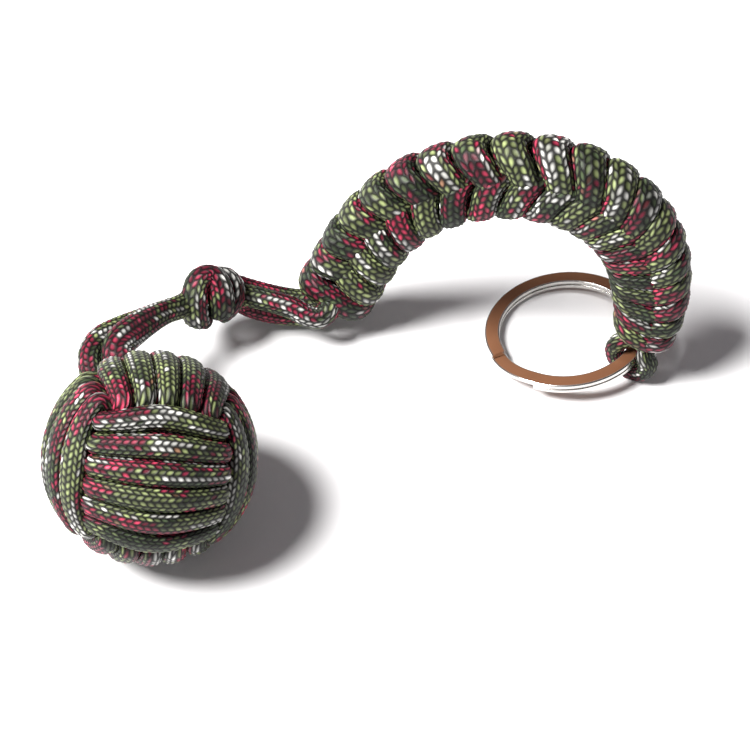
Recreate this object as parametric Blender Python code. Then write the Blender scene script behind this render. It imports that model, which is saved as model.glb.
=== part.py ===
"""Key fob with a monkey's fist knot, as it stands when put down on a table.

A steel ball is wrapped in three sets of cord turns, the fist. Two cord strands lead from it to a
stopper knot, four go on to a knotted bar that stands up as an arch, and the bar's core cord comes
out at its far end as an eye that holds a flat split ring. Blender 4.5, metres, +Z up, with X
from the fist towards the ring and Y away from the viewer.
"""

import math

import bmesh
import bpy
import numpy as np
from mathutils import Matrix, Vector

MM = 0.001

# Cord
CORD_DIAMETER = 4.0 * MM
CORE_CORD_DIAMETER = 3.6 * MM
SEAT_GAP = 0.3 * MM
TURN_GAP = 0.5 * MM
TUBE_ROUNDING = 1

# Fist: turns of cord round the steel ball, squeezed thin where they pass under other turns. The
# layers and their drops towards the outermost turns are in pitches, from one turn to the next
FIST_CORD_DIAMETER = 3.7 * MM
FIST_FRONT_TURNS = 6
FIST_SIDE_TURNS = 5
FIST_SIDE_SPREAD = 1.024
FIST_POINTS_PER_TURN = 24
SQUEEZED_SHARE = 0.42
SQUEEZED_BELOW = 0.54
FULL_ABOVE = 0.925
UNDER_LAYER = 3.151
UNDER_LAYER_DROP = 0.554
OVER_LAYER = 4.250
OVER_LAYER_DROP = 0.562
UNDER_FULLNESS = 1.957
UNDER_FULLNESS_GAIN = 0.402
OVER_FULLNESS = 2.783
OVER_FULLNESS_GAIN = 0.395
PANEL_PINCH = 0.465
TURN_SHIFT_SHARE = 0.125
BALL_SEAT = 0.25 * MM
BALL_SEGMENTS = 24
FIST_PLACE = (-41.0 * MM, -35.0 * MM)
FIST_TIP = math.radians(-31)
FIST_TURN = math.radians(7)
FLAT_DEPTH = 0.1

# Lead and neck: strands from the fist to the knot, and from the knot to the bar
STRAND_SPACING = 2.3 * MM
LEAD_TWIST = math.radians(110)
LEAD_ROUTE = [
    (-49.95, -16.91, 21.87),
    (-51.13, -14.52, 22.32),
    (-51.6, -9.3, 21.6),
    (-49.7, -3.9, 19.3),
    (-46.6, 1.6, 16.9),
]
LEAD_STEPS = 16
KNOT_CENTRE = (-33.4, 10.4, 12.0)
KNOT_AXIS = (0.861, 0.412, -0.300)
KNOT_TURNS = 2.0
KNOT_POINTS_PER_TURN = 16
NECK_START_RUN = 1.5 * MM
NECK_END_RUN = 0.6 * MM
NECK_STEPS = 20
# How far each strand leans out of the knot, drops there, and comes up straight into the bar
NECK_LEANS = {
    "neck_strand_a": (1.0 * MM, 0.4 * MM, 5.6 * MM),
    "neck_strand_b": (1.6 * MM, 4.1 * MM, 8.3 * MM),
    "neck_strand_c": (1.0 * MM, 1.8 * MM, 1.5 * MM),
    "neck_strand_d": (5.1 * MM, 3.0 * MM, 8.2 * MM),
}

# Bar: one working cord wound over two core strands along the arch
ARCH_FOOT = (-7.5 * MM, 13.0 * MM)
ARCH_HEADING = math.radians(-12.7)
ARCH_LEAN = math.radians(12)
ARCH_ROUTE = [
    (-1.3, 7.6),
    (2.2, 15.5),
    (6.4, 24.5),
    (13.6, 33.4),
    (22.8, 39.2),
    (33.0, 42.2),
    (43.5, 41.8),
    (52.6, 37.8),
    (59.1, 30.4),
    (62.1, 20.0),
    (61.4, 10.0),
]
CORE_SPACING = 4.1 * MM
BAR_PITCH = 5.4 * MM
BAR_POINTS_PER_TURN = 16
BAR_CHEVRON = 1.6 * MM
BAR_INNER_SHARE = 0.80
BAR_CORNER = 0.4
BAR_LINE_SAMPLES = 400
CORE_ROUTE_STEPS = 30
CORE_STEPS = 96

# Split ring and the cord eye that holds it
RING_OUTER_DIAMETER = 33.0 * MM
RING_FACE_WIDTH = 3.0 * MM
RING_WIRE_THICKNESS = 0.95 * MM
RING_COIL_GAP = 0.1 * MM
RING_EDGE_ROUNDING = 0.2 * MM
RING_STEPS_PER_TURN = 48
RING_SPLIT_ANGLE = math.radians(223)
RING_STEP_HALF_ANGLE = math.radians(20)
RING_HEADING = math.radians(-35)
EYE_PLACE = (50.8 * MM, 0.4 * MM)
EYE_CLEARANCE = 0.25 * MM
EYE_WRAP = math.radians(40)
EYE_STEPS = 9

# Finish: colour, roughness, metallic
FINISHES = {
    "cord": ((0.16, 0.19, 0.09), 0.75, 0.0),
    "steel": ((0.55, 0.55, 0.56), 0.30, 1.0),
    "ring_steel": ((0.62, 0.60, 0.57), 0.22, 1.0),
}

PARTS = "monkey_fist_key_fob"
AXIS_EMPTY_SIZE = 5 * MM


def clear_scene():
    for obj in list(bpy.data.objects):
        bpy.data.objects.remove(obj, do_unlink=True)
    parts = bpy.data.collections.new(PARTS)
    bpy.context.scene.collection.children.link(parts)
    return parts


def make_material(name):
    colour, roughness, metallic = FINISHES[name]
    material = bpy.data.materials.new(name)
    material.use_nodes = True
    shader = material.node_tree.nodes["Principled BSDF"]
    shader.inputs["Base Color"].default_value = (*colour, 1.0)
    shader.inputs["Roughness"].default_value = roughness
    shader.inputs["Metallic"].default_value = metallic
    return material


def smooth_step(t):
    t = np.clip(t, 0.0, 1.0)
    return t * t * (3 - 2 * t)


def unit(v):
    v = np.asarray(v, dtype=float)
    return v / np.linalg.norm(v)


def spline_through(points, samples):
    """Points along a Catmull-Rom curve through the given ones, evenly spaced along it."""
    p = np.asarray(points, dtype=float)
    p = np.vstack([2 * p[0] - p[1], p, 2 * p[-1] - p[-2]])
    fine = []
    for i in range(1, len(p) - 2):
        a, b, c, d = p[i - 1 : i + 3]
        for t in np.linspace(0, 1, 40, endpoint=False):
            bend = (2 * a - 5 * b + 4 * c - d) * t**2 + (3 * b - a - 3 * c + d) * t**3
            fine.append(0.5 * (2 * b + (c - a) * t + bend))
    fine.append(p[-2])
    return evenly(np.array(fine), samples)


def bezier(handles, samples):
    """Evenly spaced points along a cubic Bezier curve."""
    t = np.linspace(0, 1, 10 * samples)[:, None]
    a, b, c, d = handles
    curve = (1 - t) ** 3 * a + 3 * (1 - t) ** 2 * t * b + 3 * (1 - t) * t**2 * c + t**3 * d
    return evenly(curve, samples)


def evenly(points, samples):
    """Points at even distances along the polyline."""
    run = np.concatenate([[0], np.cumsum(np.linalg.norm(np.diff(points, axis=0), axis=1))])
    even = np.linspace(0, run[-1], samples)
    return np.stack([np.interp(even, run, column) for column in points.T], 1)


def cord_path(route, samples):
    """A smooth path along the route whose first and last stretches stay straight."""
    bend = spline_through(route, 8 * samples)
    first = np.argmin(np.linalg.norm(bend - route[1], axis=1))
    last = np.argmin(np.linalg.norm(bend - route[-2], axis=1))
    middle = bend[np.linspace(first, last, samples - 2).round().astype(int)]
    middle[0] = route[1]
    middle[-1] = route[-2]
    return np.vstack([route[0], middle, route[-1]])


def tube(parts, name, points, diameter, material, swell=None):
    """A cord along points, with capped ends; swell is each point's share of the diameter."""
    curve = bpy.data.curves.new(name, "CURVE")
    curve.dimensions = "3D"
    curve.twist_mode = "MINIMUM"
    curve.bevel_depth = diameter / 2
    curve.bevel_resolution = TUBE_ROUNDING
    curve.use_fill_caps = True
    spline = curve.splines.new("POLY")
    spline.points.add(len(points) - 1)
    for i, point in enumerate(points):
        spline.points[i].co = (*point, 1.0)
        spline.points[i].radius = 1.0 if swell is None else swell[i]
    curve.materials.append(material)
    obj = bpy.data.objects.new(name, curve)
    parts.objects.link(obj)
    return obj


def as_mesh(parts, obj, frame):
    """The curve as a welded mesh whose points are moved by frame, under the same name."""
    name = obj.name
    bpy.context.view_layer.update()
    graph = bpy.context.evaluated_depsgraph_get()
    mesh = bpy.data.meshes.new_from_object(obj.evaluated_get(graph))
    bpy.data.objects.remove(obj, do_unlink=True)
    mesh.transform(frame)
    work = bmesh.new()
    work.from_mesh(mesh)
    bmesh.ops.remove_doubles(work, verts=work.verts, dist=1e-6)
    work.to_mesh(mesh)
    work.free()
    mesh.name = name
    solid = bpy.data.objects.new(name, mesh)
    parts.objects.link(solid)
    return solid


def lowest_point(objects):
    return min(v.co.z for obj in objects for v in obj.data.vertices)


def cut_flat(obj, height):
    """Cut off what lies below height and close the cut."""
    work = bmesh.new()
    work.from_mesh(obj.data)
    everything = work.verts[:] + work.edges[:] + work.faces[:]
    bmesh.ops.bisect_plane(
        work,
        geom=everything,
        dist=1e-7,
        plane_co=(0, 0, height),
        plane_no=(0, 0, -1),
        clear_outer=True,
    )
    open_edges = [e for e in work.edges if e.is_boundary]
    if open_edges:
        bmesh.ops.holes_fill(work, edges=open_edges, sides=0)
    bmesh.ops.recalc_face_normals(work, faces=work.faces)
    work.to_mesh(obj.data)
    work.free()


def fist_pitch():
    return FIST_CORD_DIAMETER + TURN_GAP


def fist_winding(turns, spread):
    """One set of turns round local Z: over the faces towards +Y and -Y, under those at +X and -X.

    Each turn lies in its own plane and steps over to the next while it is hidden under the turns
    of another set. Returns the points and the share of the cord's diameter at each.
    """
    angle = math.pi + np.linspace(0, math.tau * turns, turns * FIST_POINTS_PER_TURN + 1)
    turn = (angle - math.pi) / math.tau
    nearest = np.floor(turn + 0.5)
    step = smooth_step((turn - nearest + TURN_SHIFT_SHARE) / (2 * TURN_SHIFT_SHARE))
    edge = (turns - 1) / 2
    offset = nearest - 1 + step - edge
    outward = (offset / edge) ** 2
    offset = spread * offset * (1 - PANEL_PINCH * np.cos(angle) ** 4)
    under = UNDER_LAYER - UNDER_LAYER_DROP * outward
    over = OVER_LAYER - OVER_LAYER_DROP * outward
    under_power = 2 / (UNDER_FULLNESS + UNDER_FULLNESS_GAIN * outward)
    over_power = 2 / (OVER_FULLNESS + OVER_FULLNESS_GAIN * outward)
    x = under * np.sign(np.cos(angle)) * np.abs(np.cos(angle)) ** under_power
    y = over * np.sign(np.sin(angle)) * np.abs(np.sin(angle)) ** over_power
    on_top = smooth_step((np.abs(np.sin(angle)) - SQUEEZED_BELOW) / (FULL_ABOVE - SQUEEZED_BELOW))
    swell = SQUEEZED_SHARE + (1 - SQUEEZED_SHARE) * on_top
    return np.stack([x, y, offset], 1) * fist_pitch(), swell


def ball_radius(windings):
    """The ball fills the space that the turns leave inside them."""
    free = math.inf
    for path, swell in windings.values():
        cord_radius = four_times(swell)[:, 0] * FIST_CORD_DIAMETER / 2
        inside = np.linalg.norm(four_times(path), axis=1) - cord_radius
        free = min(free, inside.min())
    return free - BALL_SEAT


def four_times(values):
    """The values with three more, evenly spaced, between each and the next."""
    at = np.linspace(0, len(values) - 1, 4 * (len(values) - 1) + 1)
    columns = np.asarray(values, dtype=float).reshape(len(values), -1)
    return np.stack([np.interp(at, np.arange(len(values)), c) for c in columns.T], 1)


def least_gap(one, other, diameter, skip=0):
    """The least gap between two tubes, each its points and swell.

    Where both are the same tube, skip leaves out points closer than that many along it.
    """
    a, b = four_times(one[0]), four_times(other[0])
    reach = (four_times(one[1]) + four_times(other[1]).T) * diameter / 2
    apart = np.linalg.norm(a[:, None] - b[None], axis=2) - reach
    if skip:
        index = np.arange(len(a))
        apart[np.abs(index[:, None] - index) < 4 * skip] = math.inf
    return apart.min()


def print_fist_gaps(windings):
    """Each winding's least gap to itself and to the other two."""
    names = list(windings)
    for i, name in enumerate(names):
        tube_a = windings[name]
        own = least_gap(tube_a, tube_a, FIST_CORD_DIAMETER, FIST_POINTS_PER_TURN // 2)
        rest = [windings[n] for n in names if n != name]
        others = min(least_gap(tube_a, tube_b, FIST_CORD_DIAMETER) for tube_b in rest)
        print(f"{name}: least gap to itself {own / MM:.2f} mm, to the others {others / MM:.2f} mm")


def fist_frame(height):
    turn = Matrix.Rotation(FIST_TURN, 4, "Z") @ Matrix.Rotation(FIST_TIP, 4, "X")
    return Matrix.Translation((*FIST_PLACE, height)) @ turn


def make_fist(parts, cord, steel):
    """The three sets of turns and the ball, stood on a flat cut in the lowest turn."""
    front, front_swell = fist_winding(FIST_FRONT_TURNS, 1.0)
    side, side_swell = fist_winding(FIST_SIDE_TURNS, FIST_SIDE_SPREAD)
    windings = {
        "fist_turns_front": (front, front_swell),
        "fist_turns_top": (side[:, [2, 0, 1]], side_swell),
        "fist_turns_side": (side[:, [1, 2, 0]], side_swell),
    }
    print_fist_gaps(windings)
    radius = ball_radius(windings)
    print(f"ball {2 * radius / MM:.1f} mm")
    turns = []
    for name, (path, swell) in windings.items():
        strand = tube(parts, name, path, FIST_CORD_DIAMETER, cord, swell)
        turns.append(as_mesh(parts, strand, fist_frame(0)))
    height = -lowest_point(turns) - FLAT_DEPTH * FIST_CORD_DIAMETER
    for strand in turns:
        strand.data.transform(Matrix.Translation((0, 0, height)))
        cut_flat(strand, 0)
    bpy.ops.mesh.primitive_uv_sphere_add(
        segments=BALL_SEGMENTS, ring_count=BALL_SEGMENTS // 2, radius=radius
    )
    ball = bpy.context.object
    ball.name = "steel_ball"
    ball.data.name = "steel_ball"
    ball.matrix_world = fist_frame(height)
    ball.data.materials.append(steel)
    ball.data.shade_smooth()
    for home in ball.users_collection:
        home.objects.unlink(ball)
    parts.objects.link(ball)
    return height


def side_axes(path):
    """For each point of path, two directions square to it that turn as little as they can."""
    ahead = np.gradient(path, axis=0)
    ahead /= np.linalg.norm(ahead, axis=1)[:, None]
    first = []
    side = unit(np.cross(ahead[0], (0, 0, 1)))
    for t in ahead:
        side = unit(side - t * (side @ t))
        first.append(side)
    first = np.array(first)
    second = np.cross(first, ahead)
    for axes in (first, second):
        axes[1] = axes[0]
        axes[-2] = axes[-1]
    return first, second


def strand_in_bundle(middle, start, end, twist=0.0):
    """A strand beside the bundle's middle line, from offset start to offset end.

    The offset keeps still at both ends of the line, so that the strand ends square to it.
    """
    first, second = side_axes(middle)
    share = smooth_step((np.arange(len(middle)) - 1) / (len(middle) - 3))
    begin = complex(start @ first[0], start @ second[0])
    finish = complex(end @ first[-1], end @ second[-1])
    turn = (np.angle(finish / begin) + twist) * share
    size = abs(begin) + (abs(finish) - abs(begin)) * share
    offset = size * np.exp(1j * (np.angle(begin) + turn))
    return middle + offset.real[:, None] * first + offset.imag[:, None] * second


def knot_axes():
    along = unit(KNOT_AXIS)
    side = unit(np.cross(along, (0, 0, 1)))
    return along, side, np.cross(side, along)


def make_knot(parts, cord):
    """Two turns of cord wound round the strand that runs straight through the knot."""
    along, side, up = knot_axes()
    centre = np.array(KNOT_CENTRE) * MM
    radius = CORD_DIAMETER + SEAT_GAP
    pitch = CORD_DIAMETER + TURN_GAP
    count = round(KNOT_TURNS * KNOT_POINTS_PER_TURN) + 1
    angle = np.linspace(0, math.tau * KNOT_TURNS, count)
    run = pitch * (angle / math.tau - KNOT_TURNS / 2)
    coil = (
        centre
        + run[:, None] * along
        + radius * (np.cos(angle)[:, None] * side + np.sin(angle)[:, None] * up)
    )
    plain = np.ones(count)
    gap = least_gap((coil, plain), (coil, plain), CORD_DIAMETER, KNOT_POINTS_PER_TURN // 2)
    print(f"knot_turns: least gap to itself {gap / MM:.2f} mm")
    tube(parts, "knot_turns", coil, CORD_DIAMETER, cord)
    half = (KNOT_TURNS * pitch + CORD_DIAMETER) / 2
    core = [centre - half * along, centre, centre + half * along]
    tube(parts, "knot_core_strand", core, CORD_DIAMETER, cord)
    return half


def make_lead(parts, cord, knot_half):
    """Two strands from the fist to the knot, twisted round each other."""
    along, side, up = knot_axes()
    end = np.array(KNOT_CENTRE) * MM - (knot_half + SEAT_GAP) * along
    route = [np.array(p) * MM for p in LEAD_ROUTE] + [end - CORD_DIAMETER * along, end]
    middle = cord_path(route, LEAD_STEPS)
    leave = unit(middle[1] - middle[0])
    start_side = unit(side - leave * (side @ leave))
    for name, way in (("lead_strand_a", 1), ("lead_strand_b", -1)):
        spacing = way * STRAND_SPACING
        path = strand_in_bundle(middle, spacing * start_side, spacing * side, LEAD_TWIST)
        tube(parts, name, path, CORD_DIAMETER, cord)
    chord = middle[-1] - middle[0]
    return middle[LEAD_STEPS // 2], unit(np.cross(chord, (0, 0, 1)))


def arch_axes():
    """The arch plane's directions: along the ground, up the leaning plane, and out of it."""
    along = np.array([math.cos(ARCH_HEADING), math.sin(ARCH_HEADING), 0])
    back = np.array([-along[1], along[0], 0])
    up = math.cos(ARCH_LEAN) * np.array([0, 0, 1]) + math.sin(ARCH_LEAN) * back
    return along, up, np.cross(along, up)


def arch_line(samples):
    """The bar's centreline in space with, at each point, the way out of the bend."""
    flat = spline_through(np.array(ARCH_ROUTE) * MM, samples)
    ahead = np.gradient(flat, axis=0)
    ahead /= np.linalg.norm(ahead, axis=1)[:, None]
    along, up, _ = arch_axes()
    foot = np.array([*ARCH_FOOT, 0])
    line = foot + flat[:, :1] * along + flat[:, 1:] * up
    outward = -ahead[:, 1:] * along + ahead[:, :1] * up
    forward = ahead[:, :1] * along + ahead[:, 1:] * up
    return line, outward, forward


def make_bar(parts, cord):
    """The working cord wound over the core strands, in a chevron on the front and back."""
    fine, fine_out, _ = arch_line(BAR_LINE_SAMPLES)
    run = np.concatenate([[0], np.cumsum(np.linalg.norm(np.diff(fine, axis=0), axis=1))])
    _, _, flat_side = arch_axes()
    clear = CORE_CORD_DIAMETER / 2 + SEAT_GAP + CORD_DIAMETER / 2
    usable = run[-1] - CORD_DIAMETER - 2 * SEAT_GAP
    turns = math.floor(usable / BAR_PITCH)
    count = turns * BAR_POINTS_PER_TURN + 1
    angle = np.linspace(0, math.tau * turns, count)
    ends = np.minimum(angle, angle[-1] - angle) / math.tau
    lean = BAR_CHEVRON * smooth_step(ends)
    place = CORD_DIAMETER / 2 + SEAT_GAP + usable * angle / angle[-1]
    place = place + lean * (np.abs(np.sin(angle)) - 0.5)
    centre = np.stack([np.interp(place, run, fine[:, k]) for k in range(3)], 1)
    out = np.stack([np.interp(place, run, fine_out[:, k]) for k in range(3)], 1)
    across = np.clip(np.cos(angle) / BAR_CORNER, -1, 1) * CORE_SPACING / 2 + np.cos(angle) * clear
    path = centre + across[:, None] * out + clear * np.sin(angle)[:, None] * flat_side
    inner = BAR_INNER_SHARE + (1 - BAR_INNER_SHARE) * (1 + np.cos(angle)) / 2
    winding = (path, inner)
    gap = least_gap(winding, winding, CORD_DIAMETER, BAR_POINTS_PER_TURN // 2)
    print(f"bar_turns: {turns} turns over {run[-1] / MM:.1f} mm, least gap to itself {gap / MM:.2f} mm")
    turns_tube = tube(parts, "bar_turns", path, CORD_DIAMETER, cord, inner)
    cut_flat(as_mesh(parts, turns_tube, Matrix.Identity(4)), 0)
    return clear


def make_neck(parts, cord, knot_half, bar_clear):
    """Four strands from the knot to the bar: two meet its core, two its working cord."""
    along, side, up = knot_axes()
    start = np.array(KNOT_CENTRE) * MM + (knot_half + SEAT_GAP) * along
    line, outward, forward = arch_line(CORE_ROUTE_STEPS)
    _, _, flat_side = arch_axes()
    end = line[0] - SEAT_GAP * forward[0]
    ends = {
        "neck_strand_a": ((-1, 1), CORE_SPACING / 2 * outward[0]),
        "neck_strand_b": ((1, -1), -CORE_SPACING / 2 * outward[0]),
        "neck_strand_c": ((1, 1), bar_clear * flat_side),
        "neck_strand_d": ((-1, -1), -bar_clear * flat_side),
    }
    for name, ((across, over), spread) in ends.items():
        lean, drop, rise = NECK_LEANS[name]
        first = start + STRAND_SPACING * (across * side + over * up)
        last = end + spread
        leave = first + NECK_START_RUN * along
        arrive = last - NECK_END_RUN * forward[0]
        handles = (leave, leave + lean * along - drop * up, arrive - rise * forward[0], arrive)
        path = np.vstack([first, bezier(handles, NECK_STEPS), last])
        tube(parts, name, path, CORE_CORD_DIAMETER, cord)


def eye_centre():
    """The middle of the eye's hole, which is the line that the ring swings about."""
    hole = math.hypot(RING_FACE_WIDTH, ring_height()) / 2 + EYE_CLEARANCE
    bend = hole + CORE_CORD_DIAMETER / 2
    low = CORE_CORD_DIAMETER * (0.5 - FLAT_DEPTH)
    return np.array([*EYE_PLACE, low + bend]), bend


def ring_height():
    return 2 * RING_WIRE_THICKNESS + RING_COIL_GAP


def make_core(parts, cord):
    """One cord up through the bar, round the ring's wire as the eye, and back through the bar."""
    centre, bend = eye_centre()
    line, outward, _ = arch_line(CORE_ROUTE_STEPS)
    across = np.array([math.cos(RING_HEADING), math.sin(RING_HEADING), 0])
    down = np.array([0, 0, -1])
    angle = np.linspace(-EYE_WRAP, math.pi + EYE_WRAP, EYE_STEPS)
    eye = [centre + bend * (math.cos(t) * across + math.sin(t) * down) for t in angle]
    outer = line + CORE_SPACING / 2 * outward
    inner = line - CORE_SPACING / 2 * outward
    path = spline_through([*outer, *eye, *inner[::-1]], CORE_STEPS)
    core = tube(parts, "core_loop", path, CORE_CORD_DIAMETER, cord)
    cut_flat(as_mesh(parts, core, Matrix.Identity(4)), 0)


def ring_frame():
    """The ring leans from the eye, where its wire is lifted, down to the table."""
    centre, _ = eye_centre()
    middle = (RING_OUTER_DIAMETER - RING_FACE_WIDTH) / 2
    tilt = 0.0
    for _ in range(20):
        low = ring_height() / 2 * math.cos(tilt) + RING_FACE_WIDTH / 2 * math.sin(tilt)
        tilt = math.asin((centre[2] - low) / (2 * middle))
    away = np.array([math.cos(RING_HEADING), math.sin(RING_HEADING), 0])
    to_eye = math.cos(tilt) * away + math.sin(tilt) * np.array([0, 0, 1])
    hinge = np.array([-away[1], away[0], 0])
    normal = np.cross(to_eye, hinge)
    place = centre - middle * to_eye
    rows = [[to_eye[i], hinge[i], normal[i], place[i]] for i in range(3)]
    return Matrix([*rows, [0, 0, 0, 1]]), hinge


def make_ring(parts, steel):
    """Flat wire wound nearly twice round, stepping from the lower coil to the upper one."""
    middle = (RING_OUTER_DIAMETER - RING_FACE_WIDTH) / 2
    lift = (RING_WIRE_THICKNESS + RING_COIL_GAP) / 2
    wide = RING_FACE_WIDTH / 2
    thick = RING_WIRE_THICKNESS / 2
    edge = RING_EDGE_ROUNDING
    outline = [
        (wide, thick - edge),
        (wide - edge, thick),
        (edge - wide, thick),
        (-wide, thick - edge),
        (-wide, edge - thick),
        (edge - wide, -thick),
        (wide - edge, -thick),
        (wide, edge - thick),
    ]
    split = RING_SPLIT_ANGLE - RING_HEADING
    sweep = 2 * math.tau - 2 * RING_STEP_HALF_ANGLE
    count = round(RING_STEPS_PER_TURN * sweep / math.tau) + 1
    work = bmesh.new()
    loops = []
    for turn in np.linspace(0, sweep, count):
        rise = (turn - sweep / 2) / (2 * RING_STEP_HALF_ANGLE) + 0.5
        height = lift * (2 * float(smooth_step(rise)) - 1)
        angle = split + RING_STEP_HALF_ANGLE + turn
        loop = []
        for out, up in outline:
            radius = middle + out
            point = (radius * math.cos(angle), radius * math.sin(angle), height + up)
            loop.append(work.verts.new(point))
        loops.append(loop)
    for low, high in zip(loops, loops[1:]):
        for k in range(len(outline)):
            n = (k + 1) % len(outline)
            work.faces.new((low[k], low[n], high[n], high[k]))
    work.faces.new(loops[0])
    work.faces.new(loops[-1])
    bmesh.ops.recalc_face_normals(work, faces=work.faces)
    mesh = bpy.data.meshes.new("split_ring")
    work.to_mesh(mesh)
    work.free()
    mesh.materials.append(steel)
    ring = bpy.data.objects.new("split_ring", mesh)
    frame, hinge = ring_frame()
    ring.matrix_world = frame
    parts.objects.link(ring)
    return hinge


def centre_on_base(parts):
    """Move everything so that the middle of the whole part's base is the origin."""
    bpy.context.view_layer.update()
    graph = bpy.context.evaluated_depsgraph_get()
    low = Vector((math.inf,) * 3)
    high = Vector((-math.inf,) * 3)
    for obj in parts.objects:
        shape = obj.evaluated_get(graph)
        mesh = shape.to_mesh()
        for vertex in mesh.vertices:
            point = shape.matrix_world @ vertex.co
            low = Vector(map(min, low, point))
            high = Vector(map(max, high, point))
        shape.to_mesh_clear()
    shift = Vector((-(low.x + high.x) / 2, -(low.y + high.y) / 2, -low.z))
    for obj in parts.objects:
        obj.matrix_world = Matrix.Translation(shift) @ obj.matrix_world
    return shift, high - low


def hang_on_axis(parts, name, point, nodes):
    """Parent the moving nodes to an empty on their joint's axis, where they are."""
    empty = bpy.data.objects.new(name, None)
    empty.empty_display_size = AXIS_EMPTY_SIZE
    empty.location = point
    parts.objects.link(empty)
    bpy.context.view_layer.update()
    for node in nodes:
        node.parent = empty
        node.matrix_parent_inverse = empty.matrix_world.inverted()


def main():
    parts = clear_scene()
    cord = make_material("cord")
    steel = make_material("steel")
    ring_steel = make_material("ring_steel")
    fist_height = make_fist(parts, cord, steel)
    knot_half = make_knot(parts, cord)
    lead_hinge, lead_axis = make_lead(parts, cord, knot_half)
    bar_clear = make_bar(parts, cord)
    make_neck(parts, cord, knot_half, bar_clear)
    make_core(parts, cord)
    hinge = make_ring(parts, ring_steel)
    shift, size = centre_on_base(parts)
    fist = [obj for obj in parts.objects if obj.name.startswith(("fist_turns", "steel_ball"))]
    hang_on_axis(parts, "fist_swing_axis", Vector(lead_hinge) + shift, fist)
    hang_on_axis(parts, "ring_swing_axis", Vector(eye_centre()[0]) + shift, [parts.objects["split_ring"]])
    print("size mm", [round(v / MM, 2) for v in size], "shift mm", [round(v / MM, 2) for v in shift])
    for name, point, axis in (
        ("fist swing", lead_hinge, lead_axis),
        ("ring swing", eye_centre()[0], hinge),
        ("fist centre", (*FIST_PLACE, fist_height), (0, 0, 1)),
    ):
        place = [round(v, 5) for v in Vector(point) + shift]
        print(name, "at", place, "axis", [round(float(v), 5) for v in axis])


main()
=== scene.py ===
"""Looks of the monkey fist key fob: braided camouflage cord, a flat split ring, floor, light, camera.

Every cord is a braided tube. Its U runs round the cord and its V along it in metres, so that the
stitches keep their size. Lengths are in metres, but the points of routes and the lengths in tables
are in millimetres, and MM turns them into metres.
"""

import math

import bpy
import numpy as np
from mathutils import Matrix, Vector

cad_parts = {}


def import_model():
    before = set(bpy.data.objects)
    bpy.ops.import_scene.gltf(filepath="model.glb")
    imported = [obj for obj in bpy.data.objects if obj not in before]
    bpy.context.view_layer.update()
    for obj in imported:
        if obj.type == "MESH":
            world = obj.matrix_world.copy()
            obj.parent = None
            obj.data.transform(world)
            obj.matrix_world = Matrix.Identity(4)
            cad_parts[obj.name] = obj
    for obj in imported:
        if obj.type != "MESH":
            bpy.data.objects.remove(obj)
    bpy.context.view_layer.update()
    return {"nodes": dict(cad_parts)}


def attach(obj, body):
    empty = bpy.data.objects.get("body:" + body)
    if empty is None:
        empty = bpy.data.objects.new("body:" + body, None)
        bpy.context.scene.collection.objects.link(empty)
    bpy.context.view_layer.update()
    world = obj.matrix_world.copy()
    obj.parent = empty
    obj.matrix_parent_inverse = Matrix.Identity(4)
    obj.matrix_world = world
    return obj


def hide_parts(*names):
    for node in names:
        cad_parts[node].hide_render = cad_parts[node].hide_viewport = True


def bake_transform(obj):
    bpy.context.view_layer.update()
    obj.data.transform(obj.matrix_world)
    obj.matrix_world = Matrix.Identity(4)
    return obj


MM = 0.001

# The shift that puts the whole part over the origin
SHIFT = np.array([-0.79, 15.03, 0.0]) * MM

# Camera
CAMERA_ELEVATION = math.radians(50)
CAMERA_DISTANCE = 420 * MM
CAMERA_TARGET = SHIFT
PHOTO_PIXELS = 750
PIXELS_PER_METRE = 5000
SENSOR_WIDTH = 36

# Across and up the picture, and towards the viewer
PICTURE_RIGHT = np.array([1.0, 0.0, 0.0])
PICTURE_UP = np.array([0.0, math.sin(CAMERA_ELEVATION), math.cos(CAMERA_ELEVATION)])
TO_VIEWER = np.array([0.0, -math.cos(CAMERA_ELEVATION), math.sin(CAMERA_ELEVATION)])
PICTURE_AXES = np.array([PICTURE_RIGHT, PICTURE_UP, TO_VIEWER])

# Floor, world and lamp
FLOOR_SIZE = 3.0
FLOOR_COLOUR = (0.86, 0.86, 0.88, 1)
FLOOR_GLOW = 0.04
WORLD_COLOUR = (1.0, 0.91, 0.96, 1)
WORLD_STRENGTH = 0.13
LAMP_PLACE = (-0.80, -0.14, 1.12)
LAMP_AIM = (0, 0, 0.01)
LAMP_SIZE = 0.70
LAMP_POWER = 61.0
LAMP_COLOUR = (1.0, 0.985, 0.96)

# Dyed pattern of the cord
GREEN_LIGHT = (0.122, 0.145, 0.062, 1)
GREEN_DARK = (0.026, 0.037, 0.018, 1)
CRIMSON = (0.270, 0.022, 0.050, 1)
CRIMSON_DARK = (0.100, 0.009, 0.021, 1)
WHITE = (0.350, 0.350, 0.335, 1)
PATTERN_LENGTH = 10 * MM
PATTERN_JITTER = 0.095
# Each tone of it: how far its noise spreads round the cord, the noise's scale and its place, and
# the heights of the noise at which the tone starts and is full
PATTERN_TONES = {
    "crimson": (0.55, 0.80, 0.0, 0.520, 0.530),
    "dark": (0.45, 0.70, 7.3, 0.44, 0.55),
    "white": (1.50, 0.62, 3.1, 0.605, 0.615),
}
WHITE_JITTER_SHARE = 0.6
# Of ten stitches in a white patch one isn't white. Crimson stitches go from light to dark
WHITE_STITCHES = (0.10, 0.11)
DARK_STITCHES = (0.55, 0.95)

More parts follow.
